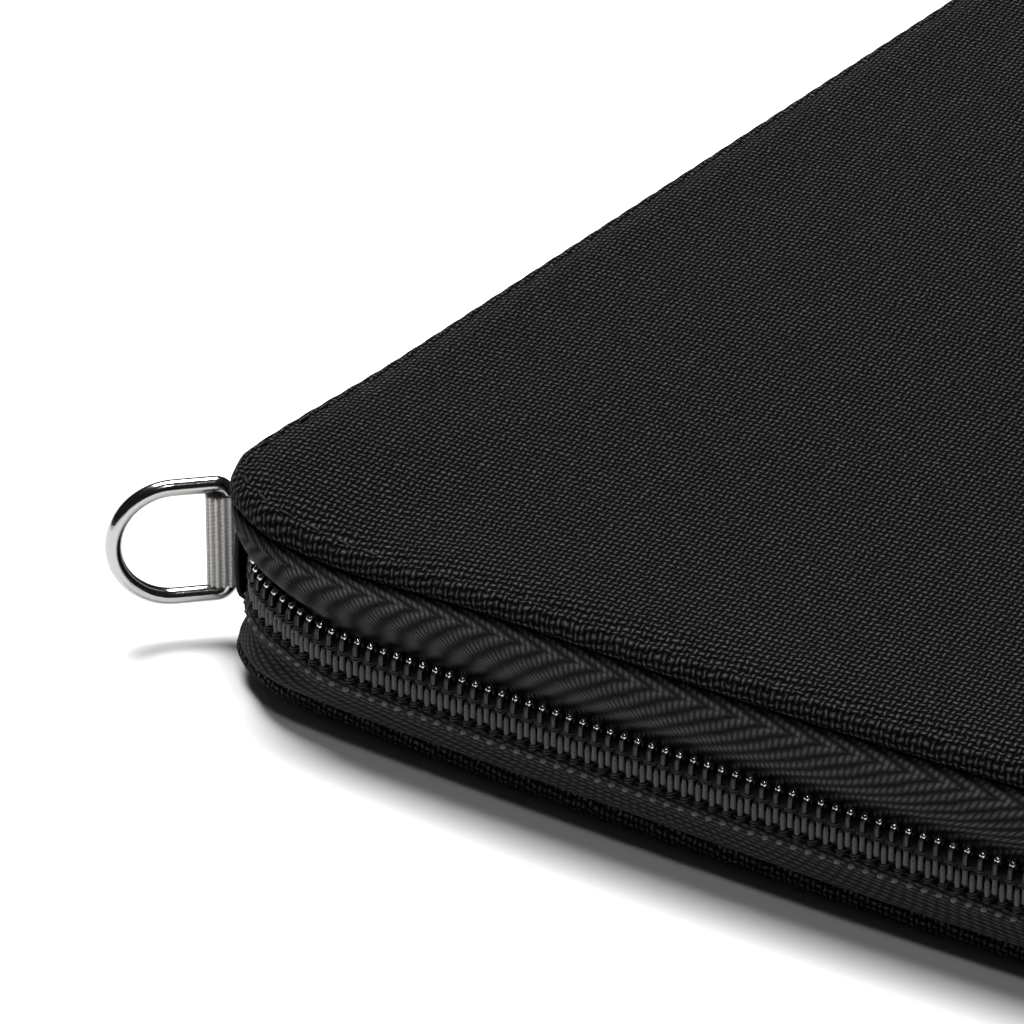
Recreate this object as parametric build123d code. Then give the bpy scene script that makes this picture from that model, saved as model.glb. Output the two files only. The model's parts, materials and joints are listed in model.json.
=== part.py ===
from build123d import *
from math import cos, radians, sin, sqrt
import os

# Zip-around passport holder wallet: two padded covers joined by a fabric spine, a coil zip round
# three sides, a D-ring on a ribbon loop at one end of the zip, and pockets inside.
# Millimetres. +Z is up. The wallet lies closed on its back cover, whose flat underside is z = 0.
# The origin is the middle of that face. The spine is along Y at -X, the D-ring at the -X, -Y corner.

# ---- driving dimensions ----
WIDTH = 126.0            # cover, from the spine to the opening side
LENGTH = 224.0           # cover, along the spine
THICKNESS = 23.3         # whole wallet, closed
COVER = 3.0              # each cover: shell, foam and lining
SHELL = 0.9              # outer fabric with its coating and interlining
LINING = 0.4
EDGE_ROUND = 2.4         # roll of the shell over the cover's edge
COVER_RADIUS = 10.0      # plan corner of a cover
COVER_BOW = 3.1          # how far the near short side bulges
LONG_BOW = 1.2           # how far the opening side bulges
FIT = 0.05               # gap between layers that are stacked in one another
SPLIT = 0.3              # gap between bodies that move apart

CHAIN_Z = 10.8           # middle of the zip chain
CHAIN_HALF = 2.9         # half of the chain's width
CHAIN_GAP = 0.5          # between the two half chains
CHAIN_RADIUS = 21.6      # plan corner of the chain's outer face
CHAIN_OUT = 3.6          # chain's outer face beyond the cover's edge
CHAIN_BOW = 1.75
COIL_THICK = 2.2
TAPE = 0.6
TAPE_FLAT = 4.6          # tape stands upright this far from the middle of the chain
SHOULDER_OUT = 1.2       # then bulges this much further, beyond its upright stretch
SHOULDER_RADIUS = 14.0
LOWER_SHOULDER = 1.9     # height of the bulge from the seam
UPPER_SHOULDER = 3.3
END_ANGLE = 28.0         # where the spine panel stops on its corner, from -X
SEAM_INSET = 0.8         # tape's foot, inside the cover's edge
FLANGE = 5.5             # tape sewn down inside
BINDING_WIDTH = 7.0
BINDING = 0.4

SPINE_FOAM = 1.1
SPINE_LINING = 0.4

RIBBON_EXIT = 8.6        # where the ribbon leaves the spine's corner, from -X
RIBBON_ANGLE = 45.0      # way the ribbon loop points, from -X towards -Y
RIBBON_SLACK = 1.0       # loose length of the loop beyond the bar
RIBBON_WIDTH = 10.2
RIBBON = 0.55
RIBBON_REACH = 6.28      # bar's centre beyond the spine's outer face
RIBBON_TAIL = 2.0        # sewn into the spine
WIRE_RADIUS = 0.9
RING_HALF = 6.25         # half the ring's width, on the wire's centreline
RING_REACH = 11.9        # bar to the ring's far end, on centrelines
RING_CORNER = 1.4
RING_Z = 10.9            # middle of the bar
BAR_CLEARANCE = 0.05

TAB_START = 19.5         # end tabs over the chain's ends, from -X
TAB_END = 33.5
TAB = 0.8
TAB_LIFT = 0.1
TAB_HALF = 4.1

SLIDER_X = -36.0         # middle of the slider, zip closed
SLIDER_LENGTH = 9.6
SLIDER_FRONT = 9.0       # width at the mouth
SLIDER_REAR = 7.6
PLATE = 1.0
CHAIN_CLEARANCE = 0.3
DIVIDER = 0.3
BRIDGE_RISE = 3.0
BRIDGE_BAR = 1.2
BRIDGE_WIDTH = 1.8
BRIDGE_HALF = 3.4
DECK_ROUND = 1.2
BLADE = 2.4
BLADE_SETBACK = 1.0
PIN_RADIUS = 0.7
PIN_LIFT = 0.95
PULL_WIDTH = 5.0
PULL_THICK = 1.3
PULL_LENGTH = 23.0
PULL_EYE = 4.3
PULL_ARM = 1.2

PANEL = 0.5              # pocket panels
EDGE_TAPE = 3.0          # sewn edge of a pocket

# ---- levels and places worked out from them ----
LOWER_SEAM = COVER
UPPER_SEAM = THICKNESS - COVER
SPINE_X = -WIDTH / 2
OPEN_X = WIDTH / 2
NEAR_Y = -LENGTH / 2
FAR_Y = LENGTH / 2
CORNER_X = SPINE_X + CHAIN_RADIUS                 # centres of the chain's spine-side corners
CORNER_Y = FAR_Y + CHAIN_OUT - CHAIN_RADIUS
TAPE_OUT = CHAIN_OUT - COIL_THICK                 # tape's outer face beyond the cover's edge
TAPE_RADIUS = CHAIN_RADIUS - COIL_THICK
SLIDER_Y = FAR_Y + CHAIN_OUT + CHAIN_CLEARANCE    # inner face of the slider's outer plate
COIL_END_X = SLIDER_X + SLIDER_LENGTH / 2 + 3 * SPLIT
FAR = 100.0                                       # bigger than any reach from a point of the wallet


def outline(edge, radius, near_bow, spine_inset=0.0, long_bow=LONG_BOW):
    """Wallet's plan outline, edge mm beyond the covers' sides, with bulging near and opening sides."""
    x0, x1 = SPINE_X + spine_inset, OPEN_X + edge
    y0, y1 = NEAR_Y - edge, FAR_Y + edge
    sides = [
        ThreePointArc((x0, y0), ((x0 + x1) / 2, y0 - near_bow), (x1, y0)),
        ThreePointArc((x1, y0), (x1 + long_bow, 0), (x1, y1)),
        Line((x1, y1), (x0, y1)),
        Line((x0, y1), (x0, y0)),
    ]
    face = Face(Wire(sides))
    return fillet(face.vertices(), radius) if radius else face


def cover_outline(inset=0.0):
    """A cover's outline, inset evenly."""
    return outline(-inset, COVER_RADIUS - inset, COVER_BOW, inset)


def plate(face, z0, z1):
    return Pos(0, 0, z0) * extrude(face, z1 - z0)


def mirrored(shape):
    """A back cover's part turned over into the front cover's."""
    return mirror(shape, about=Plane.XY.offset(THICKNESS / 2))


def spine_side(angle):
    """Upright prism holding the spine and its corners, up to angle past square."""
    x = CORNER_X - FAR * cos(radians(angle))
    y = CORNER_Y + FAR * sin(radians(angle))
    back = SPINE_X - FAR
    corners = [(CORNER_X, -CORNER_Y), (x, -y), (back, -y), (back, y), (x, y), (CORNER_X, CORNER_Y)]
    return plate(make_face(Polyline(*corners, close=True)), -FAR, FAR)


# ---- covers ----
def cover_shell():
    """Outer fabric of a cover: a shallow pan whose edge rolls over to the seam."""
    slab = extrude(cover_outline(), COVER)
    slab = fillet(slab.faces().sort_by(Axis.Z)[0].edges(), EDGE_ROUND)
    hollow = plate(cover_outline(SHELL), SHELL, COVER + 1)
    hollow = fillet(hollow.faces().sort_by(Axis.Z)[0].edges(), EDGE_ROUND - SHELL)
    return slab - hollow


def cover_foam():
    foam = plate(cover_outline(SHELL + FIT), SHELL + FIT, COVER - LINING - FIT)
    return fillet(foam.faces().sort_by(Axis.Z)[0].edges(), EDGE_ROUND - SHELL - FIT)


def cover_lining():
    return plate(cover_outline(SHELL + FIT), COVER - LINING, COVER)


# ---- zip ----
def tape(seam, shoulder, upright, rim):
    """Zip tape from its foot at the seam, bulging at the shoulder, then upright to its rim."""
    def level(z, edge, radius, bow, spine_inset):
        return [Pos(0, 0, z) * outline(edge - t, radius - t, bow, spine_inset + t) for t in (0, TAPE)]
    levels = [
        level(seam, -SEAM_INSET, COVER_RADIUS - SEAM_INSET, COVER_BOW, SEAM_INSET),
        level(shoulder, TAPE_OUT + SHOULDER_OUT, SHOULDER_RADIUS, CHAIN_BOW, SEAM_INSET),
        level(upright, TAPE_OUT, TAPE_RADIUS, CHAIN_BOW, COIL_THICK),
        level(rim, TAPE_OUT, TAPE_RADIUS, CHAIN_BOW, COIL_THICK),
    ]
    outer, inner = (loft(faces, ruled=True) for faces in zip(*levels))
    way = 1 if rim > seam else -1
    foot = sorted([seam, seam + way * TAPE])
    flange = plate(cover_outline(SEAM_INSET + TAPE / 2) - cover_outline(SEAM_INSET + FLANGE), *foot)
    return (outer - inner + flange) - spine_side(END_ANGLE + 1)


def coil(z0, z1):
    """Half of the chain, from its near end round to the closed slider."""
    outer = outline(CHAIN_OUT, CHAIN_RADIUS, CHAIN_BOW)
    inner = outline(TAPE_OUT, TAPE_RADIUS, CHAIN_BOW, COIL_THICK)
    past_slider = Pos(COIL_END_X, FAR_Y, CHAIN_Z) * Box(
        FAR, 2 * CHAIN_RADIUS, THICKNESS, align=(Align.MAX, Align.CENTER, Align.CENTER))
    return plate(outer - inner, z0, z1) - spine_side(END_ANGLE + 1) - past_slider


def binding():
    """Binding tape over the raw edges inside a cover, on the three zipped sides."""
    inset = SEAM_INSET + 2 * TAPE
    strip = cover_outline(inset) - cover_outline(inset + BINDING_WIDTH)
    z = COVER + TAPE + FIT
    return plate(strip, z, z + BINDING) - spine_side(END_ANGLE + 1)


# ---- spine ----
def chain_line(depth):
    """Chain's outer face in plan, or what is depth mm inside it."""
    return outline(CHAIN_OUT - depth, CHAIN_RADIUS - depth, CHAIN_BOW, depth)


def spine_layer(depth, thick):
    """A layer of the spine panel, depth mm in from its outer face."""
    band = plate(chain_line(depth) - chain_line(depth + thick), LOWER_SEAM + SPLIT, UPPER_SEAM - SPLIT)
    return (band & spine_side(END_ANGLE)) - ribbon_slot()


def end_tab(side):
    """Tab over an end of the chain, sewn to the spine. side is -1 at the D-ring, 1 at the slider."""
    outer = chain_line(-TAB_LIFT - TAB) - chain_line(-TAB_LIFT)
    half = plate(outer, CHAIN_Z - TAB_HALF, CHAIN_Z + TAB_HALF)
    wedge = spine_side(TAB_END) - spine_side(TAB_START)
    this_end = Box(FAR, FAR, FAR, align=(Align.MAX, Align.CENTER, Align.CENTER))
    return half & wedge & (Pos(0, side * FAR_Y, 0) * this_end)


# ---- ribbon loop and D-ring ----
def ring_frame():
    """Frame of the loop and ring at the bar's centre: x outwards, y along the bar, z across the ring."""
    leave, way = radians(RIBBON_EXIT), radians(RIBBON_ANGLE)
    x = CORNER_X - CHAIN_RADIUS * cos(leave) - RIBBON_REACH * cos(way)
    y = -CORNER_Y - CHAIN_RADIUS * sin(leave) - RIBBON_REACH * sin(way)
    out = (-cos(way), -sin(way), 0)
    level = (-sin(way), cos(way), 0)
    return Plane(origin=(x, y, RING_Z), x_dir=out, z_dir=level)


def ribbon_slot():
    """Room for the ribbon's tail in the spine's end."""
    tail = Box(RIBBON_REACH + 2 * RIBBON_TAIL, RIBBON_WIDTH + 4 * FIT, 2 * RIBBON + 2 * FIT,
               align=(Align.MAX, Align.CENTER, Align.CENTER))
    return ring_frame() * tail


def ribbon_loop():
    """Ribbon doubled round the ring's bar, with its two ends sewn together into the spine."""
    bore = WIRE_RADIUS + BAR_CLEARANCE
    around = bore + RIBBON
    neck = 2.5 * around                       # the two sides meet here
    touch_x = -around * around / neck
    touch_y = around * sqrt(1 - (around / neck) ** 2)
    tail_end = RIBBON_REACH + RIBBON_TAIL
    flare = Polyline((touch_x, touch_y), (-neck, RIBBON), (-tail_end, RIBBON), (-tail_end, -RIBBON),
                     (-neck, -RIBBON), (touch_x, -touch_y), close=True)
    loop = Pos(RIBBON_SLACK / 2, 0) * SlotCenterToCenter(RIBBON_SLACK, 2 * around)
    eye = Pos(RIBBON_SLACK / 2, 0) * SlotCenterToCenter(RIBBON_SLACK, 2 * bore)
    face = loop + make_face(flare) - eye
    return ring_frame() * (Rot(90, 0, 0) * extrude(face, RIBBON_WIDTH / 2, both=True))


def d_ring():
    """D of round wire: the straight bar, two arms and a half-circle."""
    arm = RING_REACH - RING_HALF
    h, c = RING_HALF, RING_CORNER
    k = c * (1 - sqrt(0.5))
    path = Wire([
        Line((0, -h + c), (0, h - c)),
        ThreePointArc((0, h - c), (k, h - k), (c, h)),
        Line((c, h), (arm, h)),
        ThreePointArc((arm, h), (RING_REACH, 0), (arm, -h)),
        Line((arm, -h), (c, -h)),
        ThreePointArc((c, -h), (k, -h + k), (0, -h + c)),
    ])
    section = Plane(origin=(0, 0, 0), z_dir=(0, 1, 0)) * Circle(WIRE_RADIUS)
    return ring_frame() * sweep(section, path=path)


# ---- sliders, built pointing along +X with the chain's face up, then set in place ----
def slider(chain_half, coil_thick, length, front, rear, plate_t, drop, bridge_half, rise):
    """Zip slider: plates over and under the chain, flanges, divider blade and bridge.

    z = 0 is the tape's outer face, +Z is outwards and -X the mouth.
    """
    top = coil_thick + CHAIN_CLEARANCE
    on_face = (Align.CENTER, Align.CENTER, Align.MIN)

    def deck(z0, z1):
        x = length / 2
        corners = [(-x, -front / 2), (x, -rear / 2), (x, rear / 2), (-x, front / 2)]
        face = make_face(Polyline(*corners, close=True))
        return plate(fillet(face.vertices(), DECK_ROUND), z0, z1)

    def arch(half, height, radius):
        face = Rectangle(2 * half, height, align=(Align.CENTER, Align.MIN))
        return fillet(face.vertices().group_by(Axis.Y)[-1], radius)
    channel = Box(2 * length, 2 * (chain_half + CHAIN_CLEARANCE), top, align=on_face)
    upper = deck(CHAIN_CLEARANCE, top + plate_t) - channel
    lower = deck(-drop - plate_t, -drop)
    blade_x = -length / 2 + BLADE_SETBACK + BLADE / 2
    blade = Pos(blade_x, 0, -drop) * Box(BLADE, DIVIDER, top + drop, align=on_face)
    opening = arch(bridge_half - BRIDGE_BAR, rise - BRIDGE_BAR, BRIDGE_BAR / 2)
    side = arch(bridge_half, rise, BRIDGE_BAR) - opening
    bridge = Pos(0, 0, top + plate_t) * (Rot(90, 0, 0) * extrude(side, BRIDGE_WIDTH / 2, both=True))
    return upper + lower + blade + bridge


def pull(width, length, eye, thick, pin):
    """Pull tab lying along +X from its pin at the origin, which goes under a slider's bridge."""
    from_pin = (Align.MIN, Align.CENTER)
    tab = Pos(-pin, 0) * Rectangle(length + pin, width, align=from_pin)
    tab = fillet(tab.vertices().group_by(Axis.X)[-1], 0.45 * width)
    window = Pos(-2 * pin, 0) * Rectangle(eye + 2 * pin, width - 2 * PULL_ARM, align=from_pin)
    hole = Pos(length - 0.7 * width, 0) * Circle(0.2 * width)
    return extrude(tab - window - hole, thick / 2, both=True) + Rot(90, 0, 0) * Cylinder(pin, width)


def far_side():
    """Frame of the slider on the far short side, the chain's face outwards."""
    return Plane(origin=(SLIDER_X, FAR_Y + TAPE_OUT, CHAIN_Z), x_dir=(1, 0, 0), z_dir=(0, 1, 0))


def zip_slider():
    return far_side() * slider(CHAIN_HALF, COIL_THICK, SLIDER_LENGTH, SLIDER_FRONT, SLIDER_REAR, PLATE,
                               TAPE + CHAIN_CLEARANCE, BRIDGE_HALF, BRIDGE_RISE)


def zip_pull():
    lift = COIL_THICK + CHAIN_CLEARANCE + PLATE + PIN_LIFT
    tab = pull(PULL_WIDTH, PULL_LENGTH, PULL_EYE, PULL_THICK, PIN_RADIUS)
    return far_side() * (Pos(0, 0, lift) * tab)


# ---- inside the back cover: a zipped pocket ----
POCKET_X0, POCKET_X1 = -54.0, 53.0
POCKET_Y0, POCKET_Y1 = -100.0, 100.0
POCKET_GAP = 1.0         # room for papers
SLIT_X = 28.0            # middle of the inner zip
SLIT_HALF = 4.0
INNER_HALF = 2.1         # half of the inner chain's width
INNER_COIL = 1.5
INNER_TAPE = 0.4
INNER_CHAIN_Y = 84.0     # half the inner chain's length
INNER_LENGTH = 7.6
INNER_FRONT, INNER_REAR = 6.4, 5.6
INNER_PLATE = 0.35
INNER_BRIDGE_HALF, INNER_RISE = 2.9, 2.3
INNER_PULL_LENGTH, INNER_PULL_WIDTH = 15.0, 4.4
INNER_PIN, INNER_EYE, INNER_PULL_THICK = 0.45, 3.8, 0.8
INNER_LIFT = 0.55
POCKET_FLOOR = COVER + POCKET_GAP + FIT
POCKET_TOP = POCKET_FLOOR + PANEL
INNER_TAPE_TOP = POCKET_FLOOR + INNER_TAPE
INNER_SLIDER_Y = INNER_CHAIN_Y - 0.75 * INNER_LENGTH
STOP_HALF, STOP_LENGTH = 2.0, 1.8


def slab(x0, x1, y0, y1, z0, z1):
    return Pos((x0 + x1) / 2, (y0 + y1) / 2, (z0 + z1) / 2) * Box(x1 - x0, y1 - y0, z1 - z0)


def pocket_panels():
    """Two panels of the zipped pocket, one each side of its zip."""
    y0, y1 = POCKET_Y0, POCKET_Y1
    return [
        slab(POCKET_X0, SLIT_X - SLIT_HALF - FIT, y0, y1, POCKET_FLOOR, POCKET_TOP),
        slab(SLIT_X + SLIT_HALF + FIT, POCKET_X1, y0, y1, POCKET_FLOOR, POCKET_TOP),
    ]


def pocket_edges():
    """Sewn edges that hold the zipped pocket's panels off the lining, as four strips."""
    x0, x1, y0, y1, e = POCKET_X0, POCKET_X1, POCKET_Y0, POCKET_Y1, EDGE_TAPE
    z0, z1 = COVER + FIT, POCKET_FLOOR
    ends = [slab(x0, x1, y0, y0 + e, z0, z1), slab(x0, x1, y1 - e, y1, z0, z1)]
    sides = [slab(x0, x0 + e, y0 + e, y1 - e, z0, z1), slab(x1 - e, x1, y0 + e, y1 - e, z0, z1)]
    return ends + sides


def inner_tapes():
    """Both tapes of the inner zip, level with the pocket's panels."""
    tapes = []
    for way in (-1, 1):
        xs = sorted([SLIT_X + way * CHAIN_GAP / 2, SLIT_X + way * SLIT_HALF])
        tapes.append(slab(*xs, POCKET_Y0, POCKET_Y1, POCKET_FLOOR, INNER_TAPE_TOP))
    return tapes


def inner_coils():
    """Both half chains of the inner zip."""
    coils = []
    for way in (-1, 1):
        xs = sorted([SLIT_X + way * CHAIN_GAP / 2, SLIT_X + way * INNER_HALF])
        coils.append(slab(*xs, -INNER_CHAIN_Y, INNER_CHAIN_Y, INNER_TAPE_TOP, INNER_TAPE_TOP + INNER_COIL))
    return coils


def inner_stops():
    """Metal stops at both ends of the inner chain."""
    stops = []
    for way in (-1, 1):
        ys = sorted([way * (INNER_CHAIN_Y + SPLIT), way * (INNER_CHAIN_Y + SPLIT + STOP_LENGTH)])
        block = slab(SLIT_X - STOP_HALF, SLIT_X + STOP_HALF, *ys, INNER_TAPE_TOP, INNER_TAPE_TOP + INNER_COIL)
        stops.append(fillet(block.edges().filter_by(Axis.Z), 0.5))
    return stops


def inner_frame():
    """Frame of the inner slider: the mouth at +Y, the pull lying towards -Y."""
    return Plane(origin=(SLIT_X, INNER_SLIDER_Y, INNER_TAPE_TOP), x_dir=(0, -1, 0), z_dir=(0, 0, 1))


def inner_slider():
    return inner_frame() * slider(INNER_HALF, INNER_COIL, INNER_LENGTH, INNER_FRONT, INNER_REAR, INNER_PLATE,
                                  INNER_TAPE + CHAIN_CLEARANCE / 2, INNER_BRIDGE_HALF, INNER_RISE)


def inner_pull():
    lift = INNER_COIL + CHAIN_CLEARANCE + INNER_PLATE + INNER_LIFT
    body = pull(INNER_PULL_WIDTH, INNER_PULL_LENGTH, INNER_EYE, INNER_PULL_THICK, INNER_PIN)
    return inner_frame() * (Pos(0, 0, lift) * body)


# ---- inside the front cover: slip pocket, passport pocket and card slots ----
SLIP = (-55.0, 53.0, -101.0, 88.0)       # x0, x1, y0, y1
PASSPORT = (-49.0, 49.0, -98.0, 0.0)
CARDS_X0, CARDS_X1 = -46.0, 46.0
CARDS_Y0 = 8.0
CARD_DEPTH = 50.0
CARD_STEP = 12.0
CARD_COUNT = 3
SLIP_GAP, PASSPORT_GAP, CARD_GAP = 0.8, 1.0, 0.5
SLIP_Z = UPPER_SEAM - FIT - SLIP_GAP - PANEL        # underside of the slip pocket's panel
PASSPORT_Z = SLIP_Z - PASSPORT_GAP - PANEL


def three_edges(x0, x1, y0, y1, z0, z1):
    """Sewn edges of an open-topped pocket: its foot and two sides."""
    e = EDGE_TAPE
    return [
        slab(x0, x1, y0, y0 + e, z0, z1),
        slab(x0, x0 + e, y0 + e, y1, z0, z1),
        slab(x1 - e, x1, y0 + e, y1, z0, z1),
    ]


def card_slot(i):
    """Card slot i's panel and its sewn edges. Slot 0 lies on the slip pocket, each next one nearer."""
    z1 = SLIP_Z - i * (CARD_GAP + PANEL) - CARD_GAP
    top = CARDS_Y0 + CARD_DEPTH + (CARD_COUNT - 1 - i) * CARD_STEP
    face = slab(CARDS_X0, CARDS_X1, CARDS_Y0, top, z1 - PANEL, z1)
    return face, three_edges(CARDS_X0, CARDS_X1, CARDS_Y0, top, z1, z1 + CARD_GAP)


def write(name, shapes):
    """Writes one node: a single solid or a group of separate ones."""
    shapes = shapes if isinstance(shapes, list) else [shapes]
    solids = [s for shape in shapes for s in shape.solids()]
    whole = solids[0] if len(solids) == 1 else Compound(children=solids)
    export_step(whole, f"parts/{name}.step")


def main():
    os.makedirs("parts", exist_ok=True)
    shell, foam, lining, strip = cover_shell(), cover_foam(), cover_lining(), binding()
    for name, part in (("shell", shell), ("foam", foam), ("lining", lining), ("inner_binding", strip)):
        write(f"back_{name}", part)
        write(f"front_{name}", mirrored(part))
    half = CHAIN_GAP / 2
    low, high = CHAIN_Z - half, CHAIN_Z + half
    write("back_zip_tape", tape(LOWER_SEAM, LOWER_SEAM + LOWER_SHOULDER, CHAIN_Z - TAPE_FLAT, low))
    write("front_zip_tape", tape(UPPER_SEAM, UPPER_SEAM - UPPER_SHOULDER, CHAIN_Z + TAPE_FLAT, high))
    write("back_zip_coil", coil(CHAIN_Z - CHAIN_HALF, low))
    write("front_zip_coil", coil(high, CHAIN_Z + CHAIN_HALF))

    write("spine_shell", spine_layer(0, SHELL))
    write("spine_foam", spine_layer(SHELL + FIT, SPINE_FOAM))
    write("spine_lining", spine_layer(SHELL + SPINE_FOAM + 2 * FIT, SPINE_LINING))
    write("zip_end_tab_near", end_tab(-1))
    write("zip_end_tab_far", end_tab(1))
    write("ribbon_loop", ribbon_loop())
    write("d_ring", d_ring())
    write("zip_slider", zip_slider())
    write("zip_pull", zip_pull())

    write("zip_pocket_panels", pocket_panels())
    write("zip_pocket_edges", pocket_edges())
    write("zip_pocket_tapes", inner_tapes())
    write("zip_pocket_coils", inner_coils())
    write("zip_pocket_stops", inner_stops())
    write("zip_pocket_slider", inner_slider())
    write("zip_pocket_pull", inner_pull())

    write("slip_pocket", slab(*SLIP, SLIP_Z, SLIP_Z + PANEL))
    write("slip_pocket_edges", three_edges(*SLIP, SLIP_Z + PANEL, SLIP_Z + PANEL + SLIP_GAP))
    write("passport_pocket", slab(*PASSPORT, PASSPORT_Z, PASSPORT_Z + PANEL))
    write("passport_pocket_edges", three_edges(*PASSPORT, PASSPORT_Z + PANEL, SLIP_Z))
    for i in range(CARD_COUNT):
        face, edges = card_slot(i)
        write(f"card_slot_{i + 1}", face)
        write(f"card_slot_{i + 1}_edges", edges)


main()
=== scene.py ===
import json
from math import cos, pi, radians, sin, sqrt

import bpy
import numpy as np
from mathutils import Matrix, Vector


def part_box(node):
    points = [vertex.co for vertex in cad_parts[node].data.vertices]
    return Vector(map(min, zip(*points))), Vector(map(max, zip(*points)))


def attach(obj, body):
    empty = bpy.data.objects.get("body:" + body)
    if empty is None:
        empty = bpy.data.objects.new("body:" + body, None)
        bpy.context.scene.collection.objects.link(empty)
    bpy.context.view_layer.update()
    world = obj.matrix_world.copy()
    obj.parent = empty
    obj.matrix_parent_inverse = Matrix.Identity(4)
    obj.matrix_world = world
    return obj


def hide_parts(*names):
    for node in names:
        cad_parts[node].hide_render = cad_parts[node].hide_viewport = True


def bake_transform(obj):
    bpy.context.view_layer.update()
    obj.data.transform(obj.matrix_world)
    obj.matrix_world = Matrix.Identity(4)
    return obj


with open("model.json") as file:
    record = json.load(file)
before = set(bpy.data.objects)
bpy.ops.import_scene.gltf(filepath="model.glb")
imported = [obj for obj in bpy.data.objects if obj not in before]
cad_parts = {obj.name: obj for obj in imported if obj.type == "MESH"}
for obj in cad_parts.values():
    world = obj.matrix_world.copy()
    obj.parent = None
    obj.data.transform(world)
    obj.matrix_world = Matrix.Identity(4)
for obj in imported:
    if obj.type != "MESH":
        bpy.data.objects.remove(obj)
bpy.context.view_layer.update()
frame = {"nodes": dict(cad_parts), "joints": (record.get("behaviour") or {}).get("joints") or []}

# Everything below is in millimetres until a mesh is made. +Z is up, the spine is at -X and the D-ring
# at the -X, -Y corner, as in the frame.
MM = 0.001


def mm(node):
    """Lowest and highest corner of a CAD node."""
    return tuple(np.array(corner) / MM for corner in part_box(node))


# ---- sizes from the frame ----
COVER_LOW, COVER_HIGH = mm("front_shell")
HALF_W = -COVER_LOW[0]
HALF_L = COVER_HIGH[1]
TOP = COVER_HIGH[2]
UPPER_SEAM = COVER_LOW[2]
LOWER_SEAM = TOP - UPPER_SEAM
CHAIN_Z = (mm("back_zip_coil")[0][2] + mm("front_zip_coil")[1][2]) / 2
CHAIN_OUT = mm("front_zip_coil")[1][1] - HALF_L
SLIDER_X = mm("zip_slider")[1][0]

# ---- sizes of the fabric, as in the CAD model ----
COVER_RADIUS = 10.0
BOW = {"front": 3.1, "back": 2.2}     # outward bow of each cover's near short side
LONG_BOW = 1.2           # and of the opening side
BOW_REACH, LONG_REACH = 90, 50        # how far from the wallet's middle each bow is whole
CHAIN_RADIUS = 21.6
CHAIN_BOW = 1.75
COIL_THICK = 2.2
PITCH = 1.6
TAPE = 0.5
SHELL = 0.8

# ---- how the fabric stands proud of the CAD solids ----
TAPE_START = 17.0        # where the zip's tape and chain begin on the spine's corner, in degrees from -X
CHAIN_START = 25.0
COUNT_START = 28.0       # where the chain's turns are counted from
ZIP_BULGE = 1.8          # of the chain at the spine's corners
COVER_BULGE = 0.9        # of the front cover there
BACK_BULGE = 0.5         # and of the back cover
BULGE_FULL, BULGE_NONE = 35.0, 70.0   # degrees from -X between which a bulge dies away


# ---- meshes ----
def mesh_piece(name, points, faces, cloth=None):
    """An object from points in millimetres. cloth gives each point's place on its flat cloth."""
    mesh = bpy.data.meshes.new(name)
    mesh.from_pydata([tuple(p) for p in np.asarray(points) * MM], [], faces)
    mesh.validate()
    if cloth is not None:
        layer = mesh.uv_layers.new(name="cloth")
        corners = np.zeros(len(mesh.loops), int)
        mesh.loops.foreach_get("vertex_index", corners)
        layer.data.foreach_set("uv", np.asarray(cloth, float)[corners].ravel())
    mesh.polygons.foreach_set("use_smooth", [True] * len(mesh.polygons))
    piece = bpy.data.objects.new(name, mesh)
    bpy.context.scene.collection.objects.link(piece)
    return piece


def grid_faces(rows, columns, closed=False):
    """Quads between rows of points, each row columns long."""
    last = columns if closed else columns - 1
    faces = []
    for r in range(rows - 1):
        low, high = r * columns, (r + 1) * columns
        for c in range(last):
            after = (c + 1) % columns
            faces.append((low + c, low + after, high + after, high + c))
    return faces


def skin(name, rows, cloth, closed=False, thick=0.0, centre=None):
    """A sheet through rows of points. centre is (point, cloth) where the last row closes up."""
    columns = len(rows[0])
    points = np.concatenate(rows)
    flat = np.concatenate(cloth)
    faces = grid_faces(len(rows), columns, closed)
    if centre is not None:
        top = len(points)
        first = top - columns
        points = np.vstack([points, centre[0]])
        flat = np.vstack([flat, centre[1]])
        faces += [(first + c, first + (c + 1) % columns, top) for c in range(columns)]
    piece = mesh_piece(name, points, faces, flat)
    if thick:
        solid = piece.modifiers.new("thickness", "SOLIDIFY")
        solid.thickness = thick * MM
        solid.offset = -1
        solid.use_even_offset = False
    return piece


def joined(name, parts, material, slot, body):
    """One piece out of many (points, faces) parts."""
    points, faces, start = [], [], 0
    for verts, quads in parts:
        points.append(verts)
        faces += [tuple(start + i for i in quad) for quad in quads]
        start += len(verts)
    return placed(mesh_piece(name, np.concatenate(points), faces), material, slot, body)


def placed(piece, material, slot, body, *nodes):
    """Give a piece its material and its body, and hide the CAD nodes that it stands for. slot is not used."""
    piece.data.materials.clear()
    piece.data.materials.append(material)
    if body:
        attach(piece, body)
    if nodes:
        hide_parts(*nodes)
    return piece


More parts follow.
